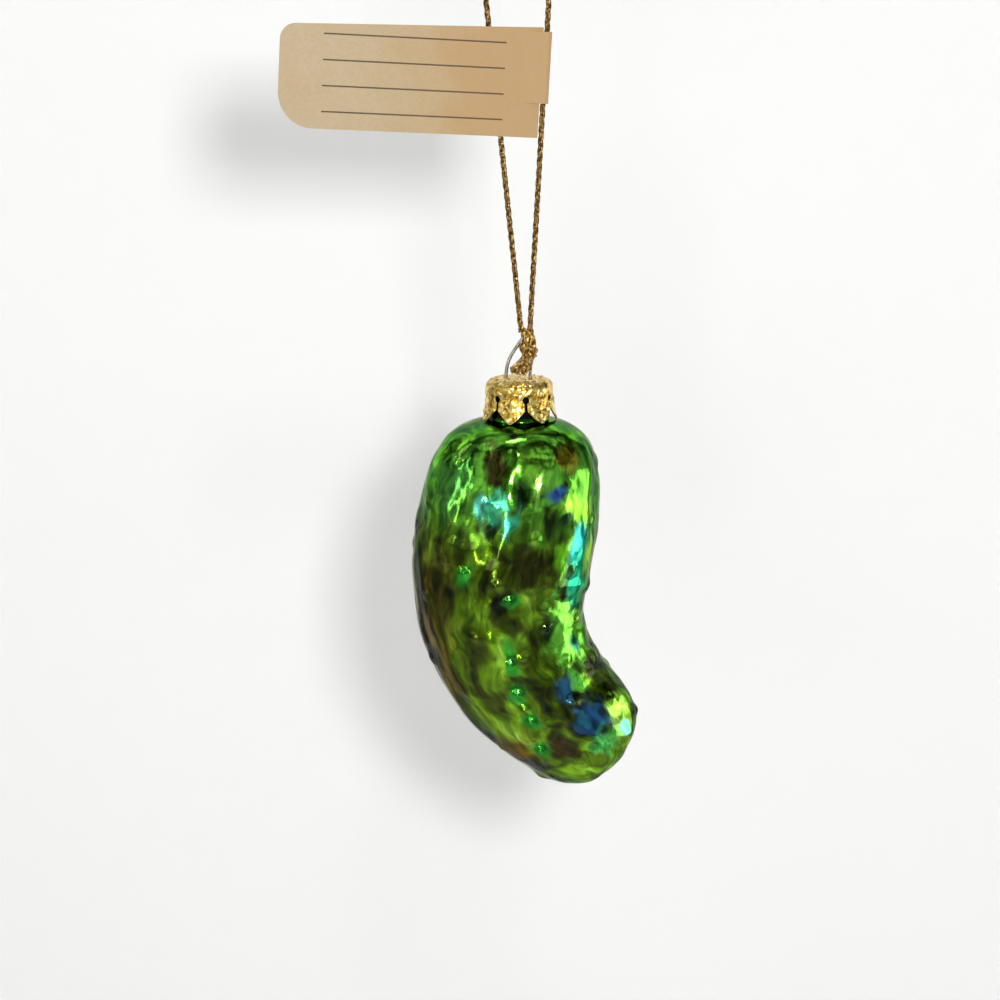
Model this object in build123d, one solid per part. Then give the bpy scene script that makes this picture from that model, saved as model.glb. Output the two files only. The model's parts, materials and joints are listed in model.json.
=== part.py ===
from build123d import *
import os
from math import cos, pi, radians, sin, tan

# A blown-glass pickle that hangs on a gold cord: bulb, crown cap, spring-wire hanger, cord and folded paper label.
# Millimetres, +Z up. Seen from the front, along +Y, +X is to the right. The origin is where a hook bears on the
# inside of the cord's bend, and everything hangs below it.

# Cord
CORD_D = 1.2  # twisted cord
CORD_ROUTE = [  # left strand, bend over the hook, right strand: x and z
    (1.0, -84.2),
    (-7.6, -4.2),
    (-3.5, 0.5),
    (2.7, 0.7),
    (7.1, -3.8),
    (2.7, -84.2),
]
TAIL_ROUTES = [  # two cut ends below the hitch, seen from the hitch: x, y and z
    [(0.1, -0.2, -4.1), (-1.5, -1.4, -5.7), (-3.8, -2.0, -7.1)],
    [(0.5, -1.0, -3.9), (0.5, -2.3, -5.7), (0.0, -2.9, -7.2)],
]
ARC_SHARE = 0.45  # part of the shorter run that an arc takes up

# Hitch that grips the wire
LOOP_DROP = 85.1  # from the hook to the middle of the hitch's upper lobe
HITCH_X = 2.2  # the hitch sits to the right of the hook's line
HITCH_R = 1.85  # upper lobe
LOWER_LOBE_R = 1.65
LOWER_LOBE_DROP = 3.5
LOWER_LOBE_SHIFT = 0.8
WAIST_R = 1.5
STRAND_CLEARANCE = 0.3  # between the strands' ends and the hitch that swings below them
GRIP_CLEARANCE = 0.03  # hitch round the wire

# Hanger wire
WIRE_D = 0.75
EYE_RISE = 8.3  # from the cap's top to the hitch's upper lobe
EYE_CROWN = (0.3, 1.3)  # bends of the eye, seen from the hitch: x and z
EYE_SIDE = (1.7, -2.5)
LEFT_BEND_RISE = 3.2  # where the legs bend into the eye, above the cap's top
RIGHT_BEND_RISE = 2.2
LEG_SPACING = 4.9  # between the legs where they pass through the cap
LEG_DEPTH = 20.0  # from the cap's top to the legs' feet
SPLAY_DEPTH = 5.0  # the legs spread below this
CROWN_BEND_R = 0.8
SIDE_BEND_R = 2.5
LEG_BEND_R = 3.0
EYE_BEND_R = 9.0  # wide bend on the eye's left
LEG_CLEARANCE = 0.3  # spread feet inside the neck's bore

# Glass bulb
WALL = 1.0
NECK_X = 0.4  # axis of neck and cap
NECK_R = 6.2
BODY_LENGTH = 82.0  # along the middle line, from the crown of the shoulder to the tip
BELLY_R = 18.4  # half width where it is widest
BELLY_AT = 31.5
TAIL_R = 14.0  # half width where the tip starts to round off
TAIL_AT = 66.0
SHOULDER_LENGTH = 30.5
SHOULDER_POWER = 3.5  # higher is squarer
TIP_POWER = 2.8
DEPTH_SHARE = 0.94  # front-to-back thickness against width
ROUND_LENGTH = 6.0  # the section turns from round at the neck to oval over this length
BOW_ANGLE = -8.5  # lean of the middle line to the left below the shoulder, in degrees
BOW_AT = 12.0
BEND_START = 30.5
BEND_END = 65.0
BEND_ANGLE = 48.5  # lean of the tail to the right, in degrees
SECTIONS = 16
STEP = 0.25  # step along the middle line
WART_COUNT = 56
WART_START = 6.5  # warts keep this far from the shoulder's crown and from the tip
WART_END = 4.0
WART_BASE_R = [1.9, 1.4, 1.7]  # the sizes take turns
WART_HEIGHT = 0.45
GOLDEN_ANGLE = 137.508

# Crown cap
CAP_WALL = 0.35
CAP_HEIGHT = 8.4
CAP_CLEARANCE = 0.3  # cap round the neck
CAP_DISH = 0.35  # fall of the top from its middle to its edge
SHOULDER_BEND_R = 1.6
FLARE_DROP = 4.5  # the skirt flares below this
FLARE_BEND_R = 5.0
PETAL_FLARE = 0.95  # how far the petals' tips stand out from the skirt
PETAL_COUNT = 7
PETAL_TURN = 23.9  # direction of the first slot, in degrees
PETAL_POINT = 2.6  # height of the points
SLOT_WIDTH = 0.5
SLOT_HEIGHT = 4.7  # from the tips to the keyhole's middle
KEYHOLE_R = 0.65
SEAT_CLEARANCE = 0.3  # petals above the shoulder
RIM_GAP = 0.2  # neck's rim below the bend of the cap's shoulder
LEG_HOLE_CLEARANCE = 0.1
PETAL_BOSS_R = 2.0  # balls whose caps stand out as bosses and beads
PETAL_BOSS_DROP = 4.6
BEAD_COUNT = 14
BEAD_R = 0.7
BEAD_CIRCLE_R = 5.0
EMBOSS_HEIGHT = 0.25

# Paper label folded round the right strand
PAPER = 0.28
TAG_LENGTH = 52.5  # from the strand to the far end
TAG_MIDDLE_Z = -34.6
TAG_HEIGHT = 21.6  # beside the strand
TAG_END_HEIGHT = 20.0
TAG_DROOP = 0.9  # the far end's middle lies this much lower
TAG_EDGE = 0.75  # the leaves start this far from the strand's middle
FOLD_LENGTH = 14.0  # stretch of the strand that the fold goes round
FOLD_SHIFT = 3.0  # the fold's middle lies this much above the label's
FOLD_CLEARANCE = 0.15
TAG_TOP_CORNER_R = 3.0
TAG_LOW_CORNER_R = 7.0
TAG_REST_ANGLE = 9.0  # the label leans forward from the left strand

# Places that follow from the sizes
HITCH = Vector(HITCH_X, 0, -LOOP_DROP)
CAP_TOP = Vector(NECK_X, 0, -LOOP_DROP - EYE_RISE)
CAP_BORE_R = NECK_R + CAP_CLEARANCE
CAP_R = CAP_BORE_R + CAP_WALL
NECK_BORE_R = NECK_R - WALL


# Cord, hitch and tails
def arc_radii(points):
    """Radius at each corner of a cord's route, as large as its two runs allow."""
    radii = []
    for before, corner, after in zip(points, points[1:], points[2:]):
        run_in = corner - before
        run_out = after - corner
        shorter = min(run_in.length, run_out.length)
        radii.append(ARC_SHARE * shorter / tan(radians(run_in.get_angle(run_out) / 2)))
    return radii


def tube(points, radii, diameter):
    """Round bar along straight runs joined by tangent arcs."""
    path = FilletPolyline(*points, radius=radii)
    section = Plane(path @ 0, z_dir=path % 0) * Circle(diameter / 2)
    return sweep(section, path=path), path


def cord(name, points):
    radii = arc_radii(points)
    solid, path = tube(points, radii, CORD_D)
    ideal = path.length * pi * CORD_D**2 / 4
    print(name, "radii", [round(r, 1) for r in radii], "length", round(path.length, 1),
          "volume share", round(solid.volume / ideal, 4))
    return solid


def hitch_blank():
    """Two lobes joined by a waist, before the wire's way through them is cut."""
    link = Vector(LOWER_LOBE_SHIFT, 0, -LOWER_LOBE_DROP)
    waist = extrude(Plane(HITCH, z_dir=link) * Circle(WAIST_R), link.length)
    return Pos(*HITCH) * Sphere(HITCH_R) + waist + Pos(*(HITCH + link)) * Sphere(LOWER_LOBE_R)


route = [Vector(x, 0, z) for x, z in CORD_ROUTE]
swing_room = Pos(*HITCH) * Sphere(HITCH_R + STRAND_CLEARANCE)
cord_loop = cord("cord_loop", route) - swing_room

eye = [
    Vector(NECK_X - NECK_BORE_R + LEG_CLEARANCE + WIRE_D / 2, 0, CAP_TOP.Z - LEG_DEPTH),
    Vector(NECK_X - LEG_SPACING / 2, 0, CAP_TOP.Z - SPLAY_DEPTH),
    Vector(NECK_X - LEG_SPACING / 2, 0, CAP_TOP.Z + LEFT_BEND_RISE),
    HITCH + Vector(EYE_CROWN[0], 0, EYE_CROWN[1]),
    HITCH + Vector(EYE_SIDE[0], 0, EYE_SIDE[1]),
    Vector(NECK_X + LEG_SPACING / 2, 0, CAP_TOP.Z + RIGHT_BEND_RISE),
    Vector(NECK_X + LEG_SPACING / 2, 0, CAP_TOP.Z - SPLAY_DEPTH),
    Vector(NECK_X + NECK_BORE_R - LEG_CLEARANCE - WIRE_D / 2, 0, CAP_TOP.Z - LEG_DEPTH),
]
eye_radii = [LEG_BEND_R, EYE_BEND_R, CROWN_BEND_R, SIDE_BEND_R, LEG_BEND_R, LEG_BEND_R]
hanger_wire, wire_path = tube(eye, eye_radii, WIRE_D)
wire_room, room_path = tube(eye, eye_radii, WIRE_D + 2 * GRIP_CLEARANCE)
hitch = hitch_blank()
cord_knot = hitch - wire_room

tails = []
for points in TAIL_ROUTES:
    tails.append(cord("cord_tails", [HITCH + Vector(*point) for point in points]) - hitch)
cord_tails = Compound(children=tails)


# Glass bulb
def heading(s):
    """Lean of the middle line from straight down, in radians, at length s along it."""
    if s < BOW_AT:
        lean = BOW_ANGLE * s / BOW_AT
    elif s < BEND_START:
        lean = BOW_ANGLE
    elif s < BEND_END:
        lean = BOW_ANGLE + (BEND_ANGLE - BOW_ANGLE) * (s - BEND_START) / (BEND_END - BEND_START)
    else:
        lean = BEND_ANGLE
    return radians(lean)


def half_width(s, inset=0.0):
    """Half the bulb's width at length s, for the outside or for a surface that lies inset below it."""
    taper = (BELLY_R - TAIL_R) / (TAIL_AT - BELLY_AT)
    girth = BELLY_R - taper * max(0.0, s - BELLY_AT) - inset
    lead = max(0.0, 1 - (s - inset) / (SHOULDER_LENGTH - inset))
    tail = max(0.0, (s - TAIL_AT) / (BODY_LENGTH - inset - TAIL_AT))
    shoulder = (1 - lead**SHOULDER_POWER) ** (1 / SHOULDER_POWER)
    tip = (1 - tail**TIP_POWER) ** (1 / TIP_POWER)
    return girth * shoulder * tip


def length_at(width, inset=0.0):
    """Length along the shoulder at which the bulb is this wide."""
    low, high = inset, SHOULDER_LENGTH
    for _ in range(50):
        middle = (low + high) / 2
        if half_width(middle, inset) < width:
            low = middle
        else:
            high = middle
    return high


PETAL_TIP_R = CAP_R + PETAL_FLARE
# The lofts start a little inside the neck and the bore, which then run into them.
NECK_S = length_at(NECK_R - WALL / 2)
BORE_S = length_at(NECK_BORE_R - WALL / 2, WALL)
TIP_Z = CAP_TOP.Z - CAP_HEIGHT
CROWN_Z = TIP_Z - SEAT_CLEARANCE + length_at(PETAL_TIP_R)  # crown of the shoulder, where the middle line starts


def middle_line(s):
    x, z = NECK_X, CROWN_Z
    count = max(1, round(s / STEP))
    for k in range(count):
        lean = heading((k + 0.5) * s / count)
        x += sin(lean) * s / count
        z -= cos(lean) * s / count
    return Vector(x, 0, z)


def depth_share(s, start):
    return 1 - (1 - DEPTH_SHARE) * min(1.0, (s - start) / ROUND_LENGTH)


def section_plane(s):
    lean = heading(s)
    return Plane(middle_line(s), x_dir=(cos(lean), 0, sin(lean)), z_dir=(sin(lean), 0, -cos(lean)))


def bulb(start, inset, ruled):
    """Loft from a round mouth at length start down to a closed tip, smooth or in straight bands."""
    end = BODY_LENGTH - inset
    faces = []
    for k in range(SECTIONS):
        s = start + (end - start) * (1 - cos(pi * k / SECTIONS)) / 2
        width = half_width(s, inset)
        faces.append(section_plane(s) * Ellipse(width, width * depth_share(s, start)))
    return loft([*faces, Vertex(*middle_line(end))], ruled=ruled)


def wart(number):
    """Shallow dome on the bulb: a ball sunk so far that only its cap stands out."""
    span = BODY_LENGTH - WART_START - WART_END
    s = WART_START + span * (number + 0.5) / WART_COUNT
    turn = radians(GOLDEN_ANGLE * number)
    base = WART_BASE_R[number % len(WART_BASE_R)]
    ball = (base**2 + WART_HEIGHT**2) / (2 * WART_HEIGHT)
    wide = half_width(s)
    deep = wide * depth_share(s, NECK_S)
    slope = (half_width(s + STEP) - half_width(s - STEP)) / (2 * STEP)
    outward = Vector(cos(turn) / wide, sin(turn) / deep, 0).normalized() - Vector(0, 0, slope)
    inward = -outward.normalized() * (ball - WART_HEIGHT)
    place = section_plane(s) * Pos(wide * cos(turn), deep * sin(turn), 0) * Pos(*inward)
    return place * Sphere(ball)


neck_rim_z = CAP_TOP.Z - CAP_DISH - SHOULDER_BEND_R - RIM_GAP
neck_height = neck_rim_z - middle_line(NECK_S).Z + WALL / 2
outside = bulb(NECK_S, 0.0, ruled=False) + [wart(number) for number in range(WART_COUNT)]
outside += Pos(NECK_X, 0, neck_rim_z - neck_height / 2) * Cylinder(NECK_R, neck_height)
bore_depth = neck_rim_z - middle_line(BORE_S).Z + WALL
inside = bulb(BORE_S, WALL, ruled=True)
inside += Pos(NECK_X, 0, neck_rim_z - bore_depth / 2) * Cylinder(NECK_BORE_R, bore_depth)
glass_body = outside - inside


# Crown cap
def cap_form(inset, below):
    """Solid cup of the cap's outline, inset by the wall and carried on below the tips."""
    flare = PETAL_FLARE / (CAP_HEIGHT - FLARE_DROP)
    outline = FilletPolyline(
        (0, -inset),
        (CAP_R - inset, -CAP_DISH - inset),
        (CAP_R - inset, -FLARE_DROP),
        (PETAL_TIP_R - inset + flare * below, -CAP_HEIGHT - below),
        radius=[SHOULDER_BEND_R - inset, FLARE_BEND_R],
    )
    back = Polyline(outline @ 1, (0, -CAP_HEIGHT - below), (0, -inset))
    return revolve(Plane.XZ * make_face(outline + back), Axis.Z)


def petal_gap():
    """Keyhole slot with the two slanted cuts that point the petals beside it, along +X."""
    half_pitch = PETAL_TIP_R * pi / PETAL_COUNT
    reach = 2 * PETAL_TIP_R
    notch = make_face(Polyline((0, PETAL_POINT), (-half_pitch, 0), (0, -PETAL_POINT), (half_pitch, 0), close=True))
    slot = Pos(0, SLOT_HEIGHT / 2) * Rectangle(SLOT_WIDTH, SLOT_HEIGHT)
    keyhole = Pos(0, SLOT_HEIGHT) * Circle(KEYHOLE_R)
    front = Plane((0, 0, -CAP_HEIGHT), x_dir=(0, 1, 0), z_dir=(1, 0, 0))
    return extrude(front * (notch + slot + keyhole), reach)


def petal_boss(number):
    turn = PETAL_TURN + 360 / PETAL_COUNT * (number + 0.5)
    return Rot(0, 0, turn) * Pos(CAP_R + EMBOSS_HEIGHT - PETAL_BOSS_R, 0, -PETAL_BOSS_DROP) * Sphere(PETAL_BOSS_R)


def top_bead(number):
    bead_z = EMBOSS_HEIGHT - BEAD_R - CAP_DISH * BEAD_CIRCLE_R / CAP_R
    return Rot(0, 0, 360 / BEAD_COUNT * number) * Pos(BEAD_CIRCLE_R, 0, bead_z) * Sphere(BEAD_R)


def leg_hole(side):
    return Pos(side * LEG_SPACING / 2, 0, 0) * Cylinder(WIRE_D / 2 + LEG_HOLE_CLEARANCE, 4 * CAP_WALL + CAP_DISH)


bosses = [petal_boss(number) for number in range(PETAL_COUNT)]
beads = [top_bead(number) for number in range(BEAD_COUNT)]
gaps = [Rot(0, 0, PETAL_TURN + 360 / PETAL_COUNT * number) * petal_gap() for number in range(PETAL_COUNT)]
cup = cap_form(0.0, 0.0) + bosses + beads - cap_form(CAP_WALL, CAP_WALL)
ornament_cap = Pos(*CAP_TOP) * (cup - gaps - [leg_hole(-1), leg_hole(1)])


# Paper label
strand_top, strand_end = route[-2], route[-1]
upward = (strand_top - strand_end).normalized()
along = (TAG_MIDDLE_Z - strand_end.Z) / (strand_top.Z - strand_end.Z)
tag_middle = strand_end + (strand_top - strand_end) * along
leftward = Vector(0, 1, 0).cross(upward) * -1
tag_frame = Plane(tag_middle, x_dir=leftward.rotate(Axis((0, 0, 0), upward), TAG_REST_ANGLE), z_dir=upward)

# In this frame X runs from the strand to the label's far end, Z runs up the strand and Y is across the paper.
leaf_outline = Polyline(
    (TAG_EDGE, TAG_HEIGHT / 2),
    (TAG_EDGE, -TAG_HEIGHT / 2),
    (TAG_LENGTH, -TAG_END_HEIGHT / 2 - TAG_DROOP),
    (TAG_LENGTH, TAG_END_HEIGHT / 2 - TAG_DROOP),
    close=True,
)
leaf_face = make_face(leaf_outline)
far_corners = leaf_face.vertices().sort_by(Axis.X)[2:].sort_by(Axis.Y)
leaf_face = fillet(far_corners[1], TAG_TOP_CORNER_R)
far_low_corner = leaf_face.vertices().sort_by(Axis.X)[2:].sort_by(Axis.Y)[0]
leaf_face = fillet(far_low_corner, TAG_LOW_CORNER_R)
leaves = extrude(Plane.XZ * leaf_face, PAPER, both=True)
fold_r = CORD_D / 2 + FOLD_CLEARANCE
fold = Cylinder(fold_r + PAPER, FOLD_LENGTH) + Pos(TAG_EDGE, 0, 0) * Box(2 * PAPER, 2 * PAPER, FOLD_LENGTH)
fold -= Cylinder(fold_r, 2 * FOLD_LENGTH)
paper_tag = tag_frame * (leaves + Pos(0, 0, FOLD_SHIFT) * fold)

print("tag hinge", [round(c, 3) for c in tag_middle], "axis", [round(c, 5) for c in upward])
print("hitch", [round(c, 3) for c in HITCH], "cap top", [round(c, 3) for c in CAP_TOP])

os.makedirs("parts", exist_ok=True)
export_step(glass_body, "parts/glass_body.step")
export_step(ornament_cap, "parts/ornament_cap.step")
export_step(hanger_wire, "parts/hanger_wire.step")
export_step(cord_loop, "parts/cord_loop.step")
export_step(cord_knot, "parts/cord_knot.step")
export_step(cord_tails, "parts/cord_tails.step")
export_step(paper_tag, "parts/paper_tag.step")
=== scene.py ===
"""A blown-glass pickle that hangs on a gold cord: lacquered glass, stamped crown cap, spring-wire hanger,
twisted cord with its hitch and cut ends, and a folded paper label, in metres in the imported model's frame."""
import json
from math import cos, pi, radians, sin, sqrt

import bpy
import numpy as np
from mathutils import Matrix, Vector, noise


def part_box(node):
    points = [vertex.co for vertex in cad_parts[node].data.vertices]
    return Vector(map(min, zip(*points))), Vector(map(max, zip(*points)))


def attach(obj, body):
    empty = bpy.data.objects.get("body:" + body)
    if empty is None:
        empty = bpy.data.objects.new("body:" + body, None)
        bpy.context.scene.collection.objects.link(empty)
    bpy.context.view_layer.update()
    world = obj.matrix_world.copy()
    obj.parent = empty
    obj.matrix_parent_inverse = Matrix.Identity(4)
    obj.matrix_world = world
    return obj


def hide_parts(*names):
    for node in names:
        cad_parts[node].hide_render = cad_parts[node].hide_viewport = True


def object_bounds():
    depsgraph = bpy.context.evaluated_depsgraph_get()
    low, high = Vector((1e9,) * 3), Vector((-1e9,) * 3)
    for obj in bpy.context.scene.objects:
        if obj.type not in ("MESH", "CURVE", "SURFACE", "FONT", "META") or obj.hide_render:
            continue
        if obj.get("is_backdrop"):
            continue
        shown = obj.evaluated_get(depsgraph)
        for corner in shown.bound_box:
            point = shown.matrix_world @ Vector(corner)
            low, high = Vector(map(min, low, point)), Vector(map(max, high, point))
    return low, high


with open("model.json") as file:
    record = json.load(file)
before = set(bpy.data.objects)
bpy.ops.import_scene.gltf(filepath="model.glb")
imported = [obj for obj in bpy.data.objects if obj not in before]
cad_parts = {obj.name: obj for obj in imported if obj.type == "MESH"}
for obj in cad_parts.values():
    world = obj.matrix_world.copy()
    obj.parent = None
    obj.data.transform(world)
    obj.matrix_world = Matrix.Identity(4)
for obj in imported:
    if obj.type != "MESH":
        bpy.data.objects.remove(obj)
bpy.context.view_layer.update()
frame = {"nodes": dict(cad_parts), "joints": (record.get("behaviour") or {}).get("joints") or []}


# Glass bulb
# Thin glass blown into a mould, silvered inside and varnished green outside, so it is a mirror seen through
# colour. The mould gives the bend, the warts and the dents. The open neck takes the cap and the hanger.
MM = 0.001
WALL = 1.0 * MM
NECK_R = 6.2 * MM
RIM_ROUND = 0.3 * MM
CROWN_Z = -101.66 * MM
BODY_LENGTH = 82.0 * MM
BELLY_R = 18.4 * MM
BELLY_AT = 31.5 * MM
TAIL_R = 14.0 * MM
TAIL_AT = 66.0 * MM
SHOULDER_LENGTH = 30.5 * MM
SHOULDER_POWER = 3.5
TIP_POWER = 2.8
DEPTH_SHARE = 0.94
ROUND_LENGTH = 6.0 * MM
LEAN_AT = [0.0, 12.0 * MM, 30.5 * MM, 65.0 * MM]
LEAN = [0.0, radians(-8.5), radians(-8.5), radians(48.5)]
LINE_STEPS = 2000
SHOULDER_STEPS = 400
COLUMNS = 288
BODY_ROWS = 290
INNER_ROWS = 40
NECK_ROWS = 12
WART_COUNT = 56
WART_START = 6.5 * MM
WART_END = 4.0 * MM
WART_R = [1.9 * MM, 1.4 * MM, 1.7 * MM]
WART_FOOT = 1.3  # reach of a wart's soft foot, in radii of the wart
WART_HEIGHT = 0.45 * MM
GOLDEN_ANGLE = radians(137.508)
FRONT_WART_R = 1.7 * MM
FRONT_WART_HEIGHT = 1.5 * WART_HEIGHT
FRONT_WARTS = np.array([  # mm on the unbent bulb: a row of four, two single ones, and one that stays dark
    (0.0, -15.3, -48.5), (-1.7, -14.4, -54.9), (-3.2, -13.5, -60.8), (-6.4, -11.6, -66.4),
    (2.0, -16.9, -34.6), (-7.8, -15.7, -30.1), (8.9, -13.6, -42.8),
]) * MM
DENTS = [  # height, width, stretch along the bulb, and a shift that keeps the three patterns apart
    (0.5 * MM, 8.0 * MM, 1.2, 3.1), (0.34 * MM, 3.8 * MM, 1.6, 7.7), (0.06 * MM, 1.5 * MM, 1.4, 1.9),
]
RELIEF_START = 1.5 * MM
RELIEF_FADE = 3.0 * MM

neck_x = (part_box("ornament_cap")[0].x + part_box("ornament_cap")[1].x) / 2
rim_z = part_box("glass_body")[1].z
around = np.arange(COLUMNS) * 2 * pi / COLUMNS
fine = np.linspace(0, BODY_LENGTH, LINE_STEPS + 1)
fine_lean = np.interp(fine, LEAN_AT, LEAN)
fine_x = neck_x + np.cumsum(np.sin(fine_lean)) * (fine[1] - fine[0])
fine_z = CROWN_Z - np.cumsum(np.cos(fine_lean)) * (fine[1] - fine[0])


def half_width(s, inset):
    """Half the bulb's width at length s along its middle line, outside or inset below the outside."""
    taper = (BELLY_R - TAIL_R) / (TAIL_AT - BELLY_AT)
    girth = BELLY_R - taper * np.maximum(0.0, s - BELLY_AT) - inset
    lead = np.clip(1 - (s - inset) / (SHOULDER_LENGTH - inset), 0.0, 1.0)
    tail = np.clip((s - TAIL_AT) / (BODY_LENGTH - inset - TAIL_AT), 0.0, 1.0)
    shoulder = (1 - lead**SHOULDER_POWER) ** (1 / SHOULDER_POWER)
    tip = (1 - tail**TIP_POWER) ** (1 / TIP_POWER)
    return girth * shoulder * tip


def bulb_rings(first_r, inset, rows):
    """Rings from where the shoulder is first_r wide to just before the tip, with their unbent places."""
    shoulder = fine[:SHOULDER_STEPS]
    start = np.interp(first_r, half_width(shoulder, inset), shoulder)
    s = start + (BODY_LENGTH - inset - start) * (1 - np.cos(pi * np.arange(rows) / rows)) / 2
    wide = half_width(s, inset)[:, None]
    deep = wide * (1 - (1 - DEPTH_SHARE) * np.clip((s - start) / ROUND_LENGTH, 0, 1))[:, None]
    lean = np.interp(s, LEAN_AT, LEAN)[:, None]
    right = wide * np.cos(around)
    back = -deep * np.sin(around)
    x = np.interp(s, fine, fine_x)[:, None] + np.cos(lean) * right
    z = np.interp(s, fine, fine_z)[:, None] + np.sin(lean) * right
    unbent = np.stack([right, back, np.broadcast_to(-s[:, None], right.shape)], axis=2)
    return np.stack([x, back, z], axis=2), unbent


def tube_rings(radii, heights):
    """Level rings round the neck's axis."""
    rings = [np.stack([neck_x + r * np.cos(around), -r * np.sin(around), np.full(COLUMNS, z)], axis=1)
             for r, z in zip(radii, heights)]
    return np.array(rings)


def wart_relief(points, unbent):
    """Height of the warts at each point, with smooth feet."""
    relief = np.zeros(points.shape[:2])
    span = BODY_LENGTH - WART_START - WART_END
    for number in range(WART_COUNT):
        row = np.argmin(np.abs(unbent[:, 0, 2] + WART_START + span * (number + 0.5) / WART_COUNT))
        column = round(GOLDEN_ANGLE * number / (2 * pi) * COLUMNS) % COLUMNS
        away = np.linalg.norm(points - points[row, column], axis=2)
        reach = WART_FOOT * WART_R[number % len(WART_R)]
        relief += WART_HEIGHT * np.cos(pi / 2 * np.clip(away / reach, 0, 1)) ** 2
    for wart in FRONT_WARTS:
        away = np.linalg.norm(unbent - wart, axis=2)
        relief += FRONT_WART_HEIGHT * np.cos(pi / 2 * np.clip(away / FRONT_WART_R, 0, 1)) ** 2
    return relief


def ripple(unbent, width, stretch, shift):
    """Smooth noise over the unbent bulb, with dents of this width, stretched along the bulb."""
    places = unbent / np.array([width, width, width * stretch]) + shift
    values = [noise.noise(Vector(place)) for place in places.reshape(-1, 3)]
    return np.array(values).reshape(unbent.shape[:2])


body_rings, unbent_body = bulb_rings(NECK_R, 0.0, BODY_ROWS)
step_along = np.gradient(body_rings, axis=0)
step_around = np.roll(body_rings, -1, axis=1) - np.roll(body_rings, 1, axis=1)
outward = np.cross(step_around, step_along)
outward /= np.linalg.norm(outward, axis=2, keepdims=True)
relief = wart_relief(body_rings, unbent_body)
for dent_height, width, stretch, shift in DENTS:
    relief += dent_height * ripple(unbent_body, width, stretch, shift)
relief *= np.clip((-unbent_body[:, :, 2] - RELIEF_START) / RELIEF_FADE, 0, 1)
body_rings += outward * relief[:, :, None]

inner_rings, unbent_inner = bulb_rings(NECK_R - WALL, WALL, INNER_ROWS)
rim_radii = [NECK_R - WALL, NECK_R - WALL + RIM_ROUND, NECK_R - RIM_ROUND, NECK_R]
rim_rings = tube_rings(rim_radii, [rim_z - RIM_ROUND, rim_z, rim_z, rim_z - RIM_ROUND])
neck_heights = np.linspace(rim_z - 2 * RIM_ROUND, body_rings[0, 0, 2] + RIM_ROUND, NECK_ROWS)
neck_rings = tube_rings([NECK_R] * NECK_ROWS, neck_heights)
glass_rings = np.concatenate([inner_rings[::-1], rim_rings, neck_rings, body_rings])
neck_unbent = np.concatenate([rim_rings, neck_rings]) - np.array([neck_x, 0, CROWN_Z])
glass_unbent = np.concatenate([unbent_inner[::-1], neck_unbent, unbent_body])


def ring_faces(ring_count, columns):
    """Quads between successive rings, numbered ring by ring."""
    faces = []
    for ring in range(ring_count - 1):
        for column in range(columns):
            following = (column + 1) % columns
            low, high = ring * columns, (ring + 1) * columns
            faces.append((low + column, low + following, high + following, high + column))
    return faces


def make_piece(name, points, faces):
    """Smooth-shaded mesh object in the scene."""
    mesh = bpy.data.meshes.new(name)
    mesh.from_pydata([tuple(point) for point in points], [], faces)
    mesh.shade_smooth()
    piece = bpy.data.objects.new(name, mesh)
    bpy.context.scene.collection.objects.link(piece)
    return piece


def store_places(piece, name, places):
    """Keeps a place for each vertex, which the piece's material reads."""
    attribute = piece.data.attributes.new(name, "FLOAT_VECTOR", "POINT")
    attribute.data.foreach_set("vector", np.asarray(places, np.float32).ravel())


ring_total = len(glass_rings)
vertex_total = ring_total * COLUMNS
inner_tip = inner_rings[-1].mean(axis=0)
outer_tip = body_rings[-1].mean(axis=0)
glass_points = np.concatenate([glass_rings.reshape(-1, 3), [inner_tip, outer_tip]])
glass_faces = ring_faces(ring_total, COLUMNS)
for column in range(COLUMNS):
    following = (column + 1) % COLUMNS
    last = vertex_total - COLUMNS
    glass_faces.append((vertex_total, following, column))
    glass_faces.append((vertex_total + 1, last + column, last + following))
glass = make_piece("glass_pickle", glass_points, glass_faces)
tip_places = [glass_unbent[0].mean(axis=0), glass_unbent[-1].mean(axis=0)]
store_places(glass, "unbent", np.concatenate([glass_unbent.reshape(-1, 3), tip_places]))


def srgb(code):
    """Linear colour of an sRGB hex code."""
    channels = [int(code[k:k + 2], 16) / 255 for k in (1, 3, 5)]
    return [c / 12.92 if c <= 0.04045 else ((c + 0.055) / 1.055) ** 2.4 for c in channels] + [1.0]


def add_node(tree, kind, inputs=None, stops=None, **settings):
    """One shader node with its settings, colour stops and inputs, each a value or another node's socket."""
    node = tree.nodes.new(kind)
    for name, value in settings.items():
        setattr(node, name, value)
    for number, (place, code) in enumerate(stops or []):
        elements = node.color_ramp.elements
        element = elements[number] if number < 2 else elements.new(place)
        element.position = place
        element.color = srgb(code)
    for socket, value in (inputs or {}).items():
        if isinstance(value, bpy.types.NodeSocket):
            tree.links.new(value, node.inputs[socket])
        else:
            node.inputs[socket].default_value = value
    return node


def new_material(name):
    """New node material, its node tree and its shader."""
    material = bpy.data.materials.new(name)
    material.use_nodes = True
    tree = material.node_tree
    return material, tree, tree.nodes["Principled BSDF"]


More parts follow.
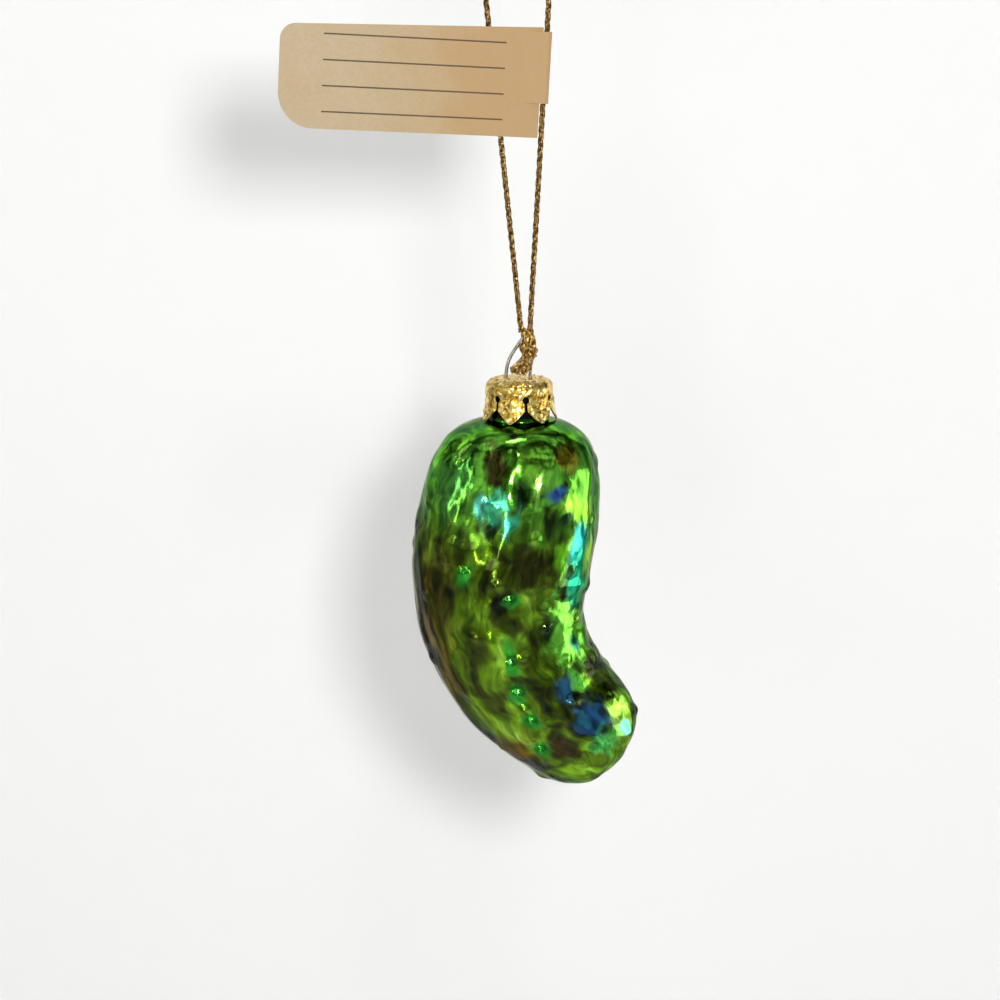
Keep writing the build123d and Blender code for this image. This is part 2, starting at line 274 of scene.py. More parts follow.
# Green lacquer over silvered glass: a tinted mirror, emerald at the crown and olive below, blotched where the
# varnish ran thick or thin. The listed runs are partly the lacquer's own colour and partly painted reflection:
# lime, teal and blue down the right flank stand for a bright window and the sky, a mint spot on the front for
# a window, dark runs for a dark room. The golden left flank is partly a painted reflection of the pale floor,
# and the neck under the cap is darkened as painted shade.
# Runs, partly lacquer tints and partly painted reflections of a window, the sky and a dark room.
VARNISH_RUNS = [  # middle and half lengths of each run on the unbent bulb in mm, and its colour
    ((-12.5, -11.0, -13.0), (4.2, 6.5, 7.5), "#3a7c2a"),
    ((3.1, -13.8, -5.4), (2.9, 4.0, 3.8), "#6cb42c"),
    ((-3.8, -14.8, -7.8), (2.9, 3.5, 3.4), "#42420f"),
    ((10.0, -10.6, -5.5), (2.2, 3.5, 2.3), "#b4a828"),
    ((-3.8, -16.8, -20.3), (2.3, 3.0, 2.3), "#1e3410"),
    ((1.2, -16.7, -14.0), (1.4, 3.0, 3.2), "#142c14"),
    # Painted reflection: a window's bright mint and pale cyan gleam, in the next three runs.
    ((-3.5, -16.5, -15.6), (3.5, 3.2, 3.0), "#5cfcb0"),
    ((-0.4, -17.1, -18.7), (1.7, 3.0, 2.1), "#50f0bc"),
    ((-6.4, -15.7, -15.8), (1.5, 3.0, 2.1), "#74fad6"),
    ((8.2, -15.2, -17.0), (1.4, 3.0, 4.0), "#20360e"),
    ((8.4, -14.3, -11.6), (1.6, 2.5, 1.4), "#2c54b4"),
    ((12.7, -11.9, -15.0), (4.0, 5.0, 2.2), "#94f03c"),
    ((11.2, -13.4, -17.3), (1.2, 2.0, 1.3), "#1c4420"),
    ((11.2, -13.7, -24.8), (1.5, 3.0, 2.5), "#84ec24"),
    ((6.7, -16.0, -21.1), (1.0, 3.0, 1.7), "#5cae1c"),
    ((15.0, -9.9, -22.5), (2.7, 4.5, 4.6), "#3cc8bc"),
    ((15.7, -8.6, -32.2), (2.7, 5.0, 8.4), "#24cc98"),
    ((16.9, -6.9, -24.8), (0.9, 2.5, 3.6), "#a8ec60"),
    ((5.1, -16.6, -27.0), (4.4, 4.0, 4.6), "#3e4409"),
    ((12.0, -10.4, -47.0), (3.8, 5.3, 11.0), "#80ec48"),
    ((12.7, -8.7, -52.3), (1.2, 2.0, 3.2), "#1c7c60"),
    ((8.6, -13.7, -43.3), (1.6, 3.0, 3.0), "#1e3c10"),
    ((9.0, -11.5, -61.5), (1.5, 3.0, 3.4), "#74e84c"),
    ((6.3, -12.5, -60.3), (1.9, 3.0, 3.6), "#205c80"),
    ((6.0, -11.3, -70.0), (3.2, 4.0, 3.8), "#1c5484"),
    ((4.6, -11.8, -68.6), (0.9, 2.0, 1.6), "#3c94b8"),
    ((7.6, -10.4, -71.4), (0.8, 2.0, 1.4), "#122c44"),
    ((5.2, -11.0, -72.6), (1.0, 2.0, 0.9), "#34b098"),
    ((12.9, -6.0, -62.9), (2.0, 4.5, 4.0), "#2e3214"),
    ((10.4, -6.7, -73.1), (2.4, 4.5, 2.4), "#9cec48"),
    ((7.6, -7.2, -77.0), (1.2, 2.3, 1.3), "#7ce8b8"),
    ((2.8, -10.5, -75.7), (2.5, 3.5, 2.4), "#60e068"),
    ((-3.4, -12.2, -69.6), (2.9, 3.5, 2.6), "#3a2e0e"),
    ((-9.5, -10.1, -63.7), (4.0, 5.0, 3.4), "#6e5c20"),
    ((0.4, -15.5, -46.6), (1.2, 3.0, 3.6), "#4cc838"),
]
lacquer, tree, shader = new_material("green_lacquer_on_silvered_glass")
unbent = add_node(tree, "ShaderNodeAttribute", attribute_name="unbent").outputs["Vector"]
place = add_node(tree, "ShaderNodeSeparateXYZ", {"Vector": unbent}).outputs
swirl = add_node(tree, "ShaderNodeTexNoise", {"Vector": unbent, "Scale": 1 / (6 * MM), "Detail": 1.0})
centred = add_node(tree, "ShaderNodeVectorMath", {0: swirl.outputs["Color"], 1: (0.5, 0.5, 0.5)},
                   operation="SUBTRACT")
drifted = add_node(tree, "ShaderNodeVectorMath",
                   {0: centred.outputs[0], 1: (5 * MM, 5 * MM, 8 * MM), 2: unbent},
                   operation="MULTIPLY_ADD").outputs[0]
runs = add_node(tree, "ShaderNodeMapping", {"Vector": drifted, "Scale": (1, 1, 0.5)})
blotches = add_node(tree, "ShaderNodeTexNoise", {"Vector": runs.outputs[0], "Scale": 1 / (4.5 * MM),
                                                 "Detail": 2.0})
emeralds = add_node(tree, "ShaderNodeValToRGB", {"Fac": blotches.outputs["Fac"]},
                    stops=[(0.32, "#142e0c"), (0.72, "#b0f86c"), (0.42, "#448c1e"), (0.52, "#68c034"),
                           (0.62, "#7cd842")])
olives = add_node(tree, "ShaderNodeValToRGB", {"Fac": blotches.outputs["Fac"]},
                  stops=[(0.32, "#121a04"), (0.74, "#a4dc48"), (0.42, "#404e08"), (0.52, "#60860e"),
                         (0.62, "#78aa1a")])
below_crown = add_node(tree, "ShaderNodeMapRange", {"Value": place["Z"], "From Min": -12 * MM,
                                                    "From Max": -28 * MM}, interpolation_type="SMOOTHSTEP")
tint = add_node(tree, "ShaderNodeMix", {0: below_crown.outputs[0], 6: emeralds.outputs["Color"],
                                        7: olives.outputs["Color"]}, data_type="RGBA").outputs[2]
streaks = add_node(tree, "ShaderNodeMapping", {"Vector": drifted, "Scale": (1, 1, 0.25)})
streak_noise = add_node(tree, "ShaderNodeTexNoise", {"Vector": streaks.outputs[0], "Scale": 1 / (2.2 * MM),
                                                     "Detail": 3.0})
fine_runs = add_node(tree, "ShaderNodeMapping", {"Vector": drifted, "Scale": (1, 1, 0.3),
                                                 "Location": (0.1, 0.2, 0.3)})
fine_streaks = add_node(tree, "ShaderNodeTexNoise", {"Vector": fine_runs.outputs[0], "Scale": 1 / (1.6 * MM),
                                                     "Detail": 2.0, "Distortion": 0.6})
# Painted reflection, in part: golden-olive streaks on the lower left flank, where the bulb mirrors the pale
# floor, over the lacquer's own olive.
golds = add_node(tree, "ShaderNodeValToRGB", {"Fac": streak_noise.outputs["Fac"]},
                 stops=[(0.34, "#221e06"), (0.72, "#a08634"), (0.46, "#4a460e"), (0.58, "#6a601a")])
left_edge = add_node(tree, "ShaderNodeMath", {0: streak_noise.outputs["Fac"], 1: -9 * MM, 2: place["X"]},
                     operation="MULTIPLY_ADD")
left_flank = add_node(tree, "ShaderNodeMapRange", {"Value": left_edge.outputs[0], "From Min": -12 * MM,
                                                   "From Max": -20 * MM}, interpolation_type="SMOOTHSTEP")
lower_half = add_node(tree, "ShaderNodeMapRange", {"Value": place["Z"], "From Min": -18 * MM,
                                                   "From Max": -38 * MM}, interpolation_type="SMOOTHSTEP")
gold_share = add_node(tree, "ShaderNodeMath", {0: left_flank.outputs[0], 1: lower_half.outputs[0]},
                      operation="MULTIPLY")
tint = add_node(tree, "ShaderNodeMix", {0: gold_share.outputs[0], 6: tint, 7: golds.outputs["Color"]},
                data_type="RGBA").outputs[2]
ragged = add_node(tree, "ShaderNodeMath", {0: streak_noise.outputs["Fac"], 1: 2.4, 2: -1.2},
                  operation="MULTIPLY_ADD").outputs[0]
loosened = add_node(tree, "ShaderNodeVectorMath",
                    {0: centred.outputs[0], 1: (3 * MM, 3 * MM, 4 * MM), 2: unbent},
                    operation="MULTIPLY_ADD").outputs[0]
# Painted highlight, in part: an emerald spot on each front wart but the dark one, for the light the warts
# catch as well as their own green.
wart_runs = [(tuple(wart / MM), (1.8, 3.0, 2.0), "#2f9a2c") for wart in FRONT_WARTS[:-1]]
for middle, half_lengths, colour in VARNISH_RUNS + wart_runs:
    away = add_node(tree, "ShaderNodeVectorMath", {0: loosened, 1: [k * MM for k in middle]},
                    operation="SUBTRACT")
    shrunk = add_node(tree, "ShaderNodeVectorMath", {0: away.outputs[0], 1: [k * MM for k in half_lengths]},
                      operation="DIVIDE")
    reach = add_node(tree, "ShaderNodeVectorMath", {0: shrunk.outputs[0]}, operation="LENGTH")
    edge = add_node(tree, "ShaderNodeMath", {0: reach.outputs["Value"], 1: ragged}, operation="ADD")
    share = add_node(tree, "ShaderNodeMapRange", {"Value": edge.outputs[0], "From Min": 1.5, "From Max": 0.5},
                     interpolation_type="SMOOTHSTEP")
    tint = add_node(tree, "ShaderNodeMix", {0: share.outputs[0], 6: tint, 7: srgb(colour)},
                    data_type="RGBA").outputs[2]
tone = add_node(tree, "ShaderNodeMapRange", {"Value": fine_streaks.outputs["Fac"], "From Min": 0.32,
                                             "From Max": 0.68, "To Min": 0.5, "To Max": 1.45})
tint = add_node(tree, "ShaderNodeVectorMath", {0: tint, "Scale": tone.outputs[0]},
                operation="SCALE").outputs[0]
# Painted shade: the neck is darkened nearly to black where the cap covers and shades it.
on_neck = add_node(tree, "ShaderNodeMapRange", {"Value": place["Z"], "From Min": -0.5 * MM,
                                                "From Max": 0.8 * MM})
tint = add_node(tree, "ShaderNodeMix", {0: on_neck.outputs[0], 6: tint, 7: srgb("#0a1606")},
                data_type="RGBA").outputs[2]
skin = add_node(tree, "ShaderNodeTexNoise", {"Vector": unbent, "Scale": 1 / (0.9 * MM), "Detail": 3.0})
skin_bump = add_node(tree, "ShaderNodeBump", {"Height": skin.outputs["Fac"], "Strength": 0.4,
                                              "Distance": 0.08 * MM})
tree.links.new(tint, shader.inputs["Base Color"])
tree.links.new(skin_bump.outputs["Normal"], shader.inputs["Normal"])
shader.inputs["Metallic"].default_value = 1.0
shader.inputs["Roughness"].default_value = 0.15
shader.inputs["Specular Tint"].default_value = srgb("#8c9050")
shader.inputs["Coat Weight"].default_value = 0.3
shader.inputs["Coat Roughness"].default_value = 0.02

# Silver mirror inside the bulb: chemically deposited, a little cloudy.
silver, tree, shader = new_material("silvered_inside")
cloud = add_node(tree, "ShaderNodeTexNoise", {"Scale": 1 / (6 * MM), "Detail": 3.0})
silver_tone = add_node(tree, "ShaderNodeValToRGB", {"Fac": cloud.outputs["Fac"]},
                       stops=[(0.35, "#a8a8a4"), (0.65, "#d4d4d0")])
tree.links.new(silver_tone.outputs["Color"], shader.inputs["Base Color"])
shader.inputs["Metallic"].default_value = 1.0
shader.inputs["Roughness"].default_value = 0.2

glass.data.materials.append(lacquer)
glass.data.materials.append(silver)
inner_faces = (len(inner_rings) - 1) * COLUMNS
for face in glass.data.polygons:
    if face.index < inner_faces:
        face.material_index = 1
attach(glass, "glass")
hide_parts("glass_body")


# Crown cap
# Stamped from thin gold-coloured sheet: a cup that slips over the neck, slit into petals with a round hole at
# the head of each slit so that they spring, and embossed all over. It is held by the hanger's legs.
CAP_WALL = 0.35 * MM
CAP_R = 6.85 * MM
CAP_HEIGHT = 8.45 * MM
CAP_DISH = 0.35 * MM
CAP_BEND_R = 1.6 * MM
CAP_CENTRE_R = 0.15 * MM
TOP_ROWS = 26
BEND_ROWS = 14
SKIRT_ROWS = 64
FLARE_DROP = 4.0 * MM
FLARE_POWER = 1.5
PETAL_FLARE = 0.95 * MM
PETAL_COUNT = 7
PETAL_TURN = radians(23.9)
PETAL_POINT = 2.6 * MM
POINT_POWER = 0.75
BLUNT_POINT = 0.02
SLOT_WIDTH = 0.5 * MM
SLOT_HEIGHT = 4.7 * MM
KEYHOLE_R = 0.7 * MM
PETAL_COLUMNS = 30
BOSS_R = 1.4 * MM
BOSS_DROP = 4.7 * MM
BEAD_COUNT = 14
BEAD_CIRCLE_R = 5.0 * MM
BEAD_R = 0.55 * MM
EMBOSS = 0.25 * MM
GRAINS = [(0.16 * MM, 1.0 * MM), (0.096 * MM, 0.5 * MM)]  # height and width of the coarse and the fine grain
WELD_DISTANCE = 0.02 * MM

cap_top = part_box("ornament_cap")[1].z
top_radii = np.linspace(CAP_CENTRE_R, CAP_R - CAP_BEND_R, TOP_ROWS)
bend_turns = np.linspace(0, pi / 2, BEND_ROWS)[1:]
bend_radii = CAP_R - CAP_BEND_R * (1 - np.sin(bend_turns))
bend_drops = CAP_DISH + CAP_BEND_R * (1 - np.cos(bend_turns))
skirt_drops = np.linspace(CAP_DISH + CAP_BEND_R, CAP_HEIGHT, SKIRT_ROWS)[1:]
down_flare = np.clip((skirt_drops - FLARE_DROP) / (CAP_HEIGHT - FLARE_DROP), 0, 1)
cap_radii = np.concatenate([top_radii, bend_radii, CAP_R + PETAL_FLARE * down_flare**FLARE_POWER])
cap_drops = np.concatenate([CAP_DISH * top_radii / CAP_R, bend_drops, skirt_drops])


def petal_half_width(height):
    """Half a petal's width at this height above the tips, on the skirt's radius."""
    pitch = pi * CAP_R / PETAL_COUNT
    if height >= SLOT_HEIGHT + KEYHOLE_R:
        return pitch
    edge = SLOT_WIDTH / 2
    if abs(height - SLOT_HEIGHT) < KEYHOLE_R:
        edge = max(edge, sqrt(KEYHOLE_R**2 - (height - SLOT_HEIGHT) ** 2))
    point = min(1.0, max(BLUNT_POINT, height / PETAL_POINT))
    return (pitch - edge) * point**POINT_POWER


def emboss_height(radius, drop, turn, petal_middle):
    """Relief of the stamped pattern: a ring of beads on the top, a boss on each petal, grain all over."""
    spot = Vector((radius * cos(turn), radius * sin(turn), -drop))
    relief = sum(grain_height * noise.noise(spot / width) for grain_height, width in GRAINS)
    bead_turn = round(turn / (2 * pi) * BEAD_COUNT) * 2 * pi / BEAD_COUNT
    bead = Vector((BEAD_CIRCLE_R * cos(bead_turn), BEAD_CIRCLE_R * sin(bead_turn), -CAP_DISH))
    boss = Vector((CAP_R * cos(petal_middle), CAP_R * sin(petal_middle), -BOSS_DROP))
    for middle, reach in [(bead, BEAD_R), (boss, BOSS_R)]:
        relief += EMBOSS * cos(pi / 2 * min(1.0, (spot - middle).length / reach)) ** 2
    return relief


cap_points = []
cap_faces = []
row_total = len(cap_radii)
for petal in range(PETAL_COUNT):
    petal_middle = PETAL_TURN + 2 * pi / PETAL_COUNT * (petal + 0.5)
    base = len(cap_points)
    for row in range(row_total):
        slope = Vector((cap_drops[min(row + 1, row_total - 1)] - cap_drops[max(row - 1, 0)],
                        cap_radii[min(row + 1, row_total - 1)] - cap_radii[max(row - 1, 0)])).normalized()
        reach = petal_half_width(CAP_HEIGHT - cap_drops[row]) / CAP_R
        for column in range(PETAL_COLUMNS + 1):
            turn = petal_middle + reach * (2 * column / PETAL_COLUMNS - 1)
            relief = emboss_height(cap_radii[row], cap_drops[row], turn, petal_middle)
            radius = cap_radii[row] + relief * slope.x
            cap_points.append((neck_x + radius * cos(turn), radius * sin(turn),
                               cap_top - cap_drops[row] + relief * slope.y))
    for row in range(row_total - 1):
        for column in range(PETAL_COLUMNS):
            low = base + row * (PETAL_COLUMNS + 1) + column
            high = low + PETAL_COLUMNS + 1
            cap_faces.append((low, high, high + 1, low + 1))
cap = make_piece("crown_cap", cap_points, cap_faces)
weld = cap.modifiers.new("weld", "WELD")
weld.merge_threshold = WELD_DISTANCE
sheet_metal = cap.modifiers.new("sheet", "SOLIDIFY")
sheet_metal.thickness = CAP_WALL
sheet_metal.offset = -1.0

# Gold-lacquered tinplate, stamped: bright warm metal with glittering grain, browner in fine random flecks.
gold_sheet, tree, shader = new_material("stamped_gold_sheet")
place = add_node(tree, "ShaderNodeTexCoord").outputs["Object"]
grain = add_node(tree, "ShaderNodeTexNoise", {"Vector": place, "Scale": 1 / (0.9 * MM), "Detail": 3.0})
gold_tone = add_node(tree, "ShaderNodeValToRGB", {"Fac": grain.outputs["Fac"]},
                     stops=[(0.34, "#8a681e"), (0.66, "#fceeae"), (0.5, "#e8c056")])
glitter = add_node(tree, "ShaderNodeTexVoronoi", {"Vector": place, "Scale": 1 / (0.8 * MM)})
glitter_bump = add_node(tree, "ShaderNodeBump", {"Height": glitter.outputs["Distance"], "Strength": 0.6,
                                                 "Distance": 0.15 * MM})
tree.links.new(gold_tone.outputs["Color"], shader.inputs["Base Color"])
tree.links.new(glitter_bump.outputs["Normal"], shader.inputs["Normal"])
shader.inputs["Metallic"].default_value = 1.0
shader.inputs["Roughness"].default_value = 0.28
cap.data.materials.append(gold_sheet)
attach(cap, "cap")
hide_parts("ornament_cap")


# Hanger wire
# One length of bright drawn spring steel, bent into an eye above the cap. Its legs go down through two holes
# in the cap and spread inside the neck, which holds the cap on.

# Drawn spring steel: bright grey metal with the die's marks along it, coarser than real so that they show.
steel, tree, shader = new_material("drawn_spring_steel")
place = add_node(tree, "ShaderNodeTexCoord").outputs["Object"]
draw_marks = add_node(tree, "ShaderNodeMapping", {"Vector": place, "Scale": (1, 1, 0.1)})
marks = add_node(tree, "ShaderNodeTexNoise", {"Vector": draw_marks.outputs[0], "Scale": 1 / (0.15 * MM)})
steel_tone = add_node(tree, "ShaderNodeValToRGB", {"Fac": marks.outputs["Fac"]},
                      stops=[(0.3, "#8c8880"), (0.7, "#cfccc4")])
tree.links.new(steel_tone.outputs["Color"], shader.inputs["Base Color"])
shader.inputs["Metallic"].default_value = 1.0
shader.inputs["Roughness"].default_value = 0.25
wire = frame["nodes"]["hanger_wire"]
wire.data.materials.clear()
wire.data.materials.append(steel)
wire.data.shade_smooth()


# Cord loop
# Thin cord of three gold metallic yarns twisted together. It goes up over a hook above the picture and comes
# back, and both strands end in the hitch that grips the wire. The weight pulls them straight.
CORD_D = 1.2 * MM
PLY_COUNT = 3
PLY_OFFSET = 0.24  # from the cord's middle to a ply's, and a ply's radius, in cord diameters
PLY_R = 0.25
TWIST_PITCH = 6.3 * MM
YARN_SIDES = 12
RING_SPACING = 0.22 * MM
SPLINE_STEPS = 40
CORD_ROUTE = [  # x and z in mm, with a point six diameters below each side of the bend
    (1.0, -84.2), (-6.83, -11.36), (-7.6, -4.2), (-3.5, 0.5),
    (2.7, 0.7), (7.1, -3.8), (6.71, -10.99), (2.7, -84.2),
]


def spline_line(points):
    """Even points along the smooth NURBS line with these control points, and how far along each one is."""
    curve = bpy.data.curves.new("route", "CURVE")
    curve.dimensions = "3D"
    curve.resolution_u = SPLINE_STEPS
    spline = curve.splines.new("NURBS")
    spline.points.add(len(points) - 1)
    for target, point in zip(spline.points, points):
        target.co = (*point, 1.0)
    spline.order_u = 3
    spline.use_endpoint_u = True
    holder = bpy.data.objects.new("route", curve)
    mesh = bpy.data.meshes.new_from_object(holder)
    line = np.array([vertex.co for vertex in mesh.vertices], float)
    bpy.data.objects.remove(holder)
    bpy.data.curves.remove(curve)
    bpy.data.meshes.remove(mesh)
    gone = np.concatenate([[0], np.cumsum(np.linalg.norm(np.diff(line, axis=0), axis=1))])
    even = np.linspace(0, gone[-1], max(8, round(gone[-1] / RING_SPACING)))
    return np.stack([np.interp(even, gone, line[:, axis]) for axis in range(3)], axis=1), even


def square_to_line(line):
    """Each point of a line, with two directions that are square to the line and don't twist along it."""
    side = Vector(line[1] - line[0]).orthogonal()
    for point, tangent in zip(line, np.gradient(line, axis=0)):
        tangent = Vector(tangent).normalized()
        side = (side - tangent * side.dot(tangent)).normalized()
        yield Vector(point), side, tangent.cross(side)


def yarn_tubes(name, lines, yarn_r, yarn):
    """Round yarns along these lines, closed at both ends."""
    yarn_points = []
    yarn_faces = []
    for line in lines:
        base = len(yarn_points)
        for point, side, across in square_to_line(line):
            yarn_points += [point + (side * cos(k) + across * sin(k)) * yarn_r
                            for k in np.arange(YARN_SIDES) * 2 * pi / YARN_SIDES]
        last = len(yarn_points) - YARN_SIDES
        yarn_faces += [tuple(base + k for k in face) for face in ring_faces(len(line), YARN_SIDES)]
        yarn_faces.append(tuple(base + k for k in range(YARN_SIDES)))
        yarn_faces.append(tuple(last + k for k in reversed(range(YARN_SIDES))))
    piece = make_piece(name, yarn_points, yarn_faces)
    piece.data.materials.append(yarn)
    return piece


def twisted_cord(name, points, thickness, yarn):
    """Plies wound round the smooth line with these control points. Gives the piece, line and length."""
    line, gone = spline_line(points)
    pitch = TWIST_PITCH * thickness / CORD_D
    plies = [[] for _ in range(PLY_COUNT)]
    for (point, side, across), s in zip(square_to_line(line), gone):
        for ply, centres in enumerate(plies):
            turn = 2 * pi * (s / pitch + ply / PLY_COUNT)
            centres.append(point + (side * cos(turn) + across * sin(turn)) * thickness * PLY_OFFSET)
    piece = yarn_tubes(name, [np.array(centres) for centres in plies], thickness * PLY_R, yarn)
    return piece, line, gone[-1]


def gold_yarn(name, tones):
    """Flat foil wound on a core: it glitters in fine flecks, bright ones among brown."""
    material, tree, shader = new_material(name)
    place = add_node(tree, "ShaderNodeTexCoord").outputs["Object"]
    flecks = add_node(tree, "ShaderNodeTexNoise", {"Vector": place, "Scale": 1 / (0.5 * MM), "Detail": 2.0})
    tone = add_node(tree, "ShaderNodeValToRGB", {"Fac": flecks.outputs["Fac"]}, stops=tones)
    foil_bump = add_node(tree, "ShaderNodeBump", {"Height": flecks.outputs["Fac"], "Strength": 0.4,
                                                  "Distance": 0.1 * MM})
    tree.links.new(tone.outputs["Color"], shader.inputs["Base Color"])
    tree.links.new(foil_bump.outputs["Normal"], shader.inputs["Normal"])
    shader.inputs["Metallic"].default_value = 0.85
    shader.inputs["Roughness"].default_value = 0.36
    return material


# Two copies of one gold yarn, shaded and lit: the strands get darker brown-gold tones as painted shade, the
# hitch and the cut ends lighter ones as painted light.
taut_yarn = gold_yarn("shaded_taut_metallic_yarn", [(0.34, "#38260e"), (0.68, "#d0ac68"), (0.5, "#745424")])
loose_yarn = gold_yarn("lit_loose_metallic_yarn", [(0.34, "#5a3e16"), (0.68, "#f4da94"), (0.5, "#a47c34")])

cord_points_m = [(x * MM, 0.0, z * MM) for x, z in CORD_ROUTE]
cord, cord_line, cord_length = twisted_cord("gold_cord_loop", cord_points_m, CORD_D, taut_yarn)
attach(cord, "cord")
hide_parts("cord_loop")
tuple(cord_line[0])


# Hitch
# The cord's doubled end is wound twice over the crown of the wire's eye, taken once round below that and
# pulled tight, which leaves two lobes side by side. It turns with the wire under the two strands.
HITCH = Vector((2.2, 0.0, -85.1)) * MM
HITCH_CORD_D = 1.55 * MM
LOBE_COUNT = 2
LOBE_STEPS = 8
LOBE_MIDDLE_Z = -1.2  # the lobes' sizes and the lower turn are in mm from the hitch's own place
LOBE_HALF_HEIGHT = 2.5
LOBE_HALF_DEPTH = 0.85
LOBES_START_X = -1.15
LOBES_WIDTH = 2.1
LOBE_LEAN = 0.1
LOWER_TURN = [(1.2, -1.0, -2.6), (1.7, 0.0, -3.1), (0.8, 1.1, -3.3), (-0.5, 0.0, -3.4), (0.5, -1.2, -3.5),
              (1.5, -0.4, -3.8)]
wound_points = []
for step in range(LOBE_COUNT * LOBE_STEPS + 1):
    turn = 2 * pi * step / LOBE_STEPS
    rise = LOBE_MIDDLE_Z - LOBE_HALF_HEIGHT * sin(turn)
    x = LOBES_START_X + LOBES_WIDTH * step / (LOBE_COUNT * LOBE_STEPS) - LOBE_LEAN * rise
    wound_points.append((x, -LOBE_HALF_DEPTH * cos(turn), rise))
hitch_points = [HITCH + Vector(point) * MM for point in wound_points + LOWER_TURN]
hitch, _, _ = twisted_cord("gold_cord_hitch", hitch_points, HITCH_CORD_D, loose_yarn)
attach(hitch, "hanger")
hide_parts("cord_knot")


# Cut ends
# Two short ends of the cord, cut off below the hitch that holds them. Nothing keeps their twist there, so
# they are frayed into fans of loose gold yarns of uneven length.
TAIL_ROUTES = [  # mm from the hitch's own place
    [(0.1, -0.2, -3.4), (-1.5, -1.4, -5.7), (-2.9, -2.0, -7.1)],
    [(0.5, -1.0, -3.4), (0.3, -2.3, -5.7), (-0.8, -2.9, -7.2)],
]
FRAY_COUNT = 11
FRAY_R = 0.26 * MM
FRAY_SPREAD = np.array([1.3, 0.8, 0.3]) * MM
FRAY_START = 0.3  # how far the yarns lie apart at the hitch, as a share of the spread at the ends
FRAY_POWER = 1.5
FRAY_SHIFT = 4  # yarn places by which the second fan is turned from the first
SHORTEST_YARN = 0.84
for number, route in enumerate(TAIL_ROUTES):
    line, gone = spline_line([HITCH + Vector(point) * MM for point in route])
    opened = (FRAY_START + (1 - FRAY_START) * (gone / gone[-1]) ** FRAY_POWER)[:, None]
    loose = []
    for yarn in range(FRAY_COUNT):
        turn = GOLDEN_ANGLE * (yarn + FRAY_SHIFT * number)
        reach = sqrt((yarn + 0.5) / FRAY_COUNT)
        spread = FRAY_SPREAD * reach * np.array([cos(turn), sin(turn), sin(3 * turn)])
        kept = round(len(line) * (SHORTEST_YARN + (1 - SHORTEST_YARN) * cos(5 * turn) ** 2))
        loose.append((line + spread * opened)[:kept])
    tail = yarn_tubes(f"gold_cord_end_{number + 1}", loose, FRAY_R, loose_yarn)
    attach(tail, "hanger")
    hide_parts("cord_tails")


# Paper label
# A strip of beige card folded round the right-hand strand and glued to itself, so it is two leaves thick. The
# far corners are rounded and the free end curls a little towards the viewer.
PAPER = 0.28 * MM
TAG_LENGTH = 52.5 * MM
TAG_HEIGHT = 21.6 * MM
TAG_END_HEIGHT = 20.0 * MM
TAG_DROOP = 0.9 * MM
TAG_EDGE = 0.75 * MM
FOLD_LENGTH = 14.0 * MM
FOLD_SHIFT = 3.0 * MM
FOLD_R = 0.75 * MM
FOLD_REACH = 5.0 * MM
FOLD_OPENING = radians(65)
FOLD_LIFT = 1.1 * PAPER
FOLD_STEPS = 33
FOLD_RISE_STEPS = 12
TOP_CORNER_R = 3.0 * MM
LOW_CORNER_R = 7.0 * MM
TAG_REST_ANGLE = radians(9.0)
TAG_CURL = 1.2 * MM
TAG_WAVE = 0.25 * MM
GLUE_LINE = 0.04 * MM  # half the height and the depth of the groove between the two leaves
GLUE_GROOVE = 0.12 * MM
EDGE_ANGLE = radians(40)
TAG_COLUMNS = 90
TAG_ROWS = 36
LINE_SPACING = 5.0 * MM
LINE_WIDTH = 0.3 * MM
LINE_START = 8.0 * MM
LINE_END = 44.0 * MM

swivel = next(joint for joint in frame["joints"] if joint["name"] == "tag_swivel")
strand_up = Vector(swivel["axis"]).normalized()
strand_left = Vector((0, -1, 0)).cross(strand_up)
tag_out = Matrix.Rotation(TAG_REST_ANGLE, 3, strand_up) @ strand_left
tag_front = strand_up.cross(tag_out)
tag_place = Vector(swivel["pos_m"])


def rounding(x, radius):
    """How far the edge draws in near the label's far end, for a corner of this radius."""
    run = max(0.0, x - TAG_LENGTH + radius)
    return radius - sqrt(max(0.0, radius**2 - run**2))


def tag_point(x, up, across):
    """Point of the curled label: x from the strand, up along it, across the paper."""
    curl = TAG_CURL * (x / TAG_LENGTH) ** 3
    wave = TAG_WAVE * sin(2 * pi * x / TAG_LENGTH) * (up / TAG_HEIGHT)
    return tag_place + tag_out * x + strand_up * up + tag_front * (across + curl + wave)


tag_points = []
tag_sheet = []
tag_faces = []
layers = [(PAPER, 0.0), (GLUE_LINE, 0.0), (0.0, GLUE_GROOVE), (-GLUE_LINE, 0.0), (-PAPER, 0.0)]
for across, inset in layers:
    for column in range(TAG_COLUMNS + 1):
        share = sin(pi / 2 * column / TAG_COLUMNS)
        x = TAG_EDGE + inset + (TAG_LENGTH - TAG_EDGE - 2 * inset) * share
        middle = -TAG_DROOP * share
        half = (TAG_HEIGHT + (TAG_END_HEIGHT - TAG_HEIGHT) * share) / 2 - inset
        top = middle + half - rounding(x, TOP_CORNER_R)
        low = middle - half + rounding(x, LOW_CORNER_R)
        for row in range(TAG_ROWS + 1):
            up = low + (top - low) * row / TAG_ROWS
            tag_points.append(tag_point(x, up, across))
            tag_sheet.append((x, across, up))
layer_size = (TAG_COLUMNS + 1) * (TAG_ROWS + 1)
border = [(column, 0) for column in range(TAG_COLUMNS)]
border += [(TAG_COLUMNS, row) for row in range(TAG_ROWS)]
border += [(column, TAG_ROWS) for column in range(TAG_COLUMNS, 0, -1)]
border += [(0, row) for row in range(TAG_ROWS, 0, -1)]
border = [column * (TAG_ROWS + 1) + row for column, row in border]
